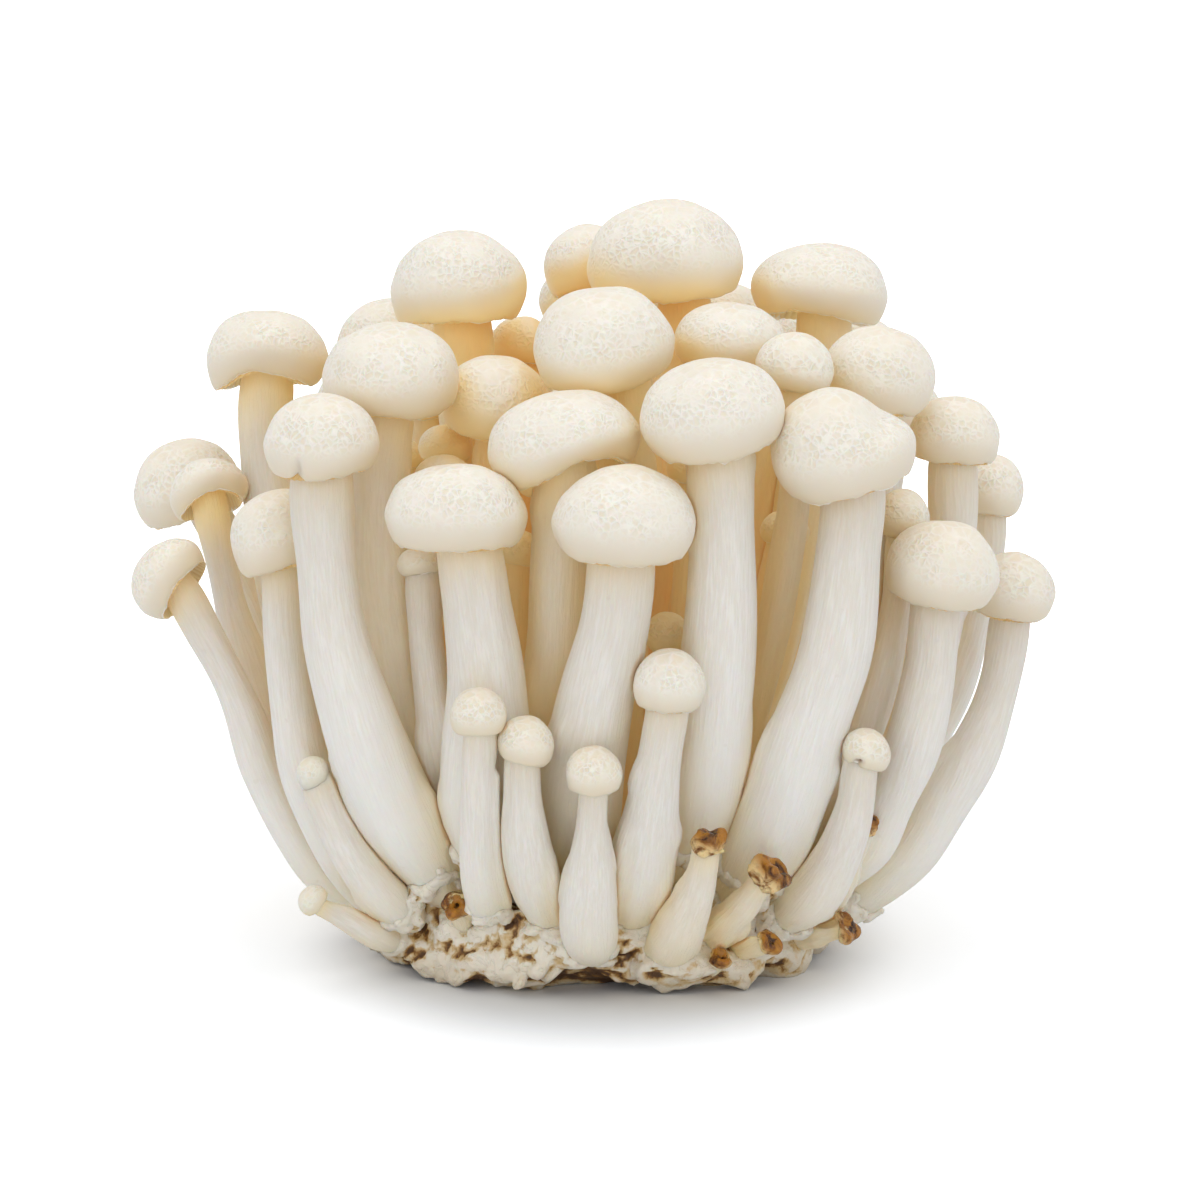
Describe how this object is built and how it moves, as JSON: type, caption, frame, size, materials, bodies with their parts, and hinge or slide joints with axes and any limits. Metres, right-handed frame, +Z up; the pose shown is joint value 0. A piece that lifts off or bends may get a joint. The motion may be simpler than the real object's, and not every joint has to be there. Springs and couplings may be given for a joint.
{
  "type": "mushroom bunch",
  "caption": "Standing bunch of white mushrooms with domed caps on long curved stems that spread from one lumpy cut butt.",
  "frame": {"origin": "on the surface the bunch stands on, under the middle of its box; the flat cut underside of the butt lies at Z = 0", "axes": "+Z up, +X along the bunch's width with +X to the right as seen from the front, +Y from front to back"},
  "size_m": [0.1152, 0.1034, 0.0931],
  "materials": {
    "flesh": "satin",
    "dried_flesh": "satin",
    "butt": "matte"
  },
  "bodies": {
    "root": {"butt": "butt", "mushroom_crown_centre": "flesh", "mushroom_crown_centre_left": "flesh", "mushroom_crown_back_left": "flesh", "mushroom_crown_left": "flesh", "mushroom_crown_right": "flesh", "mushroom_crown_front": "flesh", "mushroom_inner_back_left": "flesh", "mushroom_inner_left": "flesh", "mushroom_inner_left_small": "flesh", "mushroom_inner_right": "flesh", "mushroom_inner_right_small": "flesh", "mushroom_inner_low_left": "flesh", "mushroom_inner_low_right": "flesh", "mushroom_front_left": "flesh", "mushroom_front_centre_left": "flesh", "mushroom_front_centre": "flesh", "mushroom_front_bean": "flesh", "mushroom_front_centre_right": "flesh", "mushroom_front_right": "flesh", "mushroom_front_tucked_left": "flesh", "mushroom_shoulder_far_left": "flesh", "mushroom_shoulder_left": "flesh", "mushroom_shoulder_right": "flesh", "mushroom_left_tucked": "flesh", "mushroom_left_upper": "flesh", "mushroom_left_open": "flesh", "mushroom_left_low": "flesh", "mushroom_right_upper": "flesh", "mushroom_right_back": "flesh", "mushroom_right_tucked": "flesh", "mushroom_right_front": "flesh", "mushroom_right_low": "flesh", "mushroom_back_right_high": "flesh", "mushroom_back_right_inner": "flesh", "mushroom_back_far_right": "flesh", "mushroom_back_left_high": "flesh", "mushroom_back_centre_high": "flesh", "mushroom_back_centre": "flesh", "mushroom_back_right_centre": "flesh", "mushroom_back_right": "flesh", "mushroom_back_far_left": "flesh", "mushroom_back_left": "flesh", "mushroom_back_low_left": "flesh", "mushroom_back_low_centre": "flesh", "mushroom_back_low_right": "flesh", "button_left": "flesh", "button_centre_left": "flesh", "button_centre": "flesh", "button_tall": "flesh", "button_right": "flesh", "button_left_low": "flesh", "button_far_left": "flesh", "dried_button_centre": "dried_flesh", "dried_button_right": "dried_flesh", "dried_button_side": "dried_flesh", "dried_button_low_right": "dried_flesh", "dried_button_low_centre": "dried_flesh", "dried_button_base": "dried_flesh", "dried_button_left": "dried_flesh"}
  },
  "joints": []
}
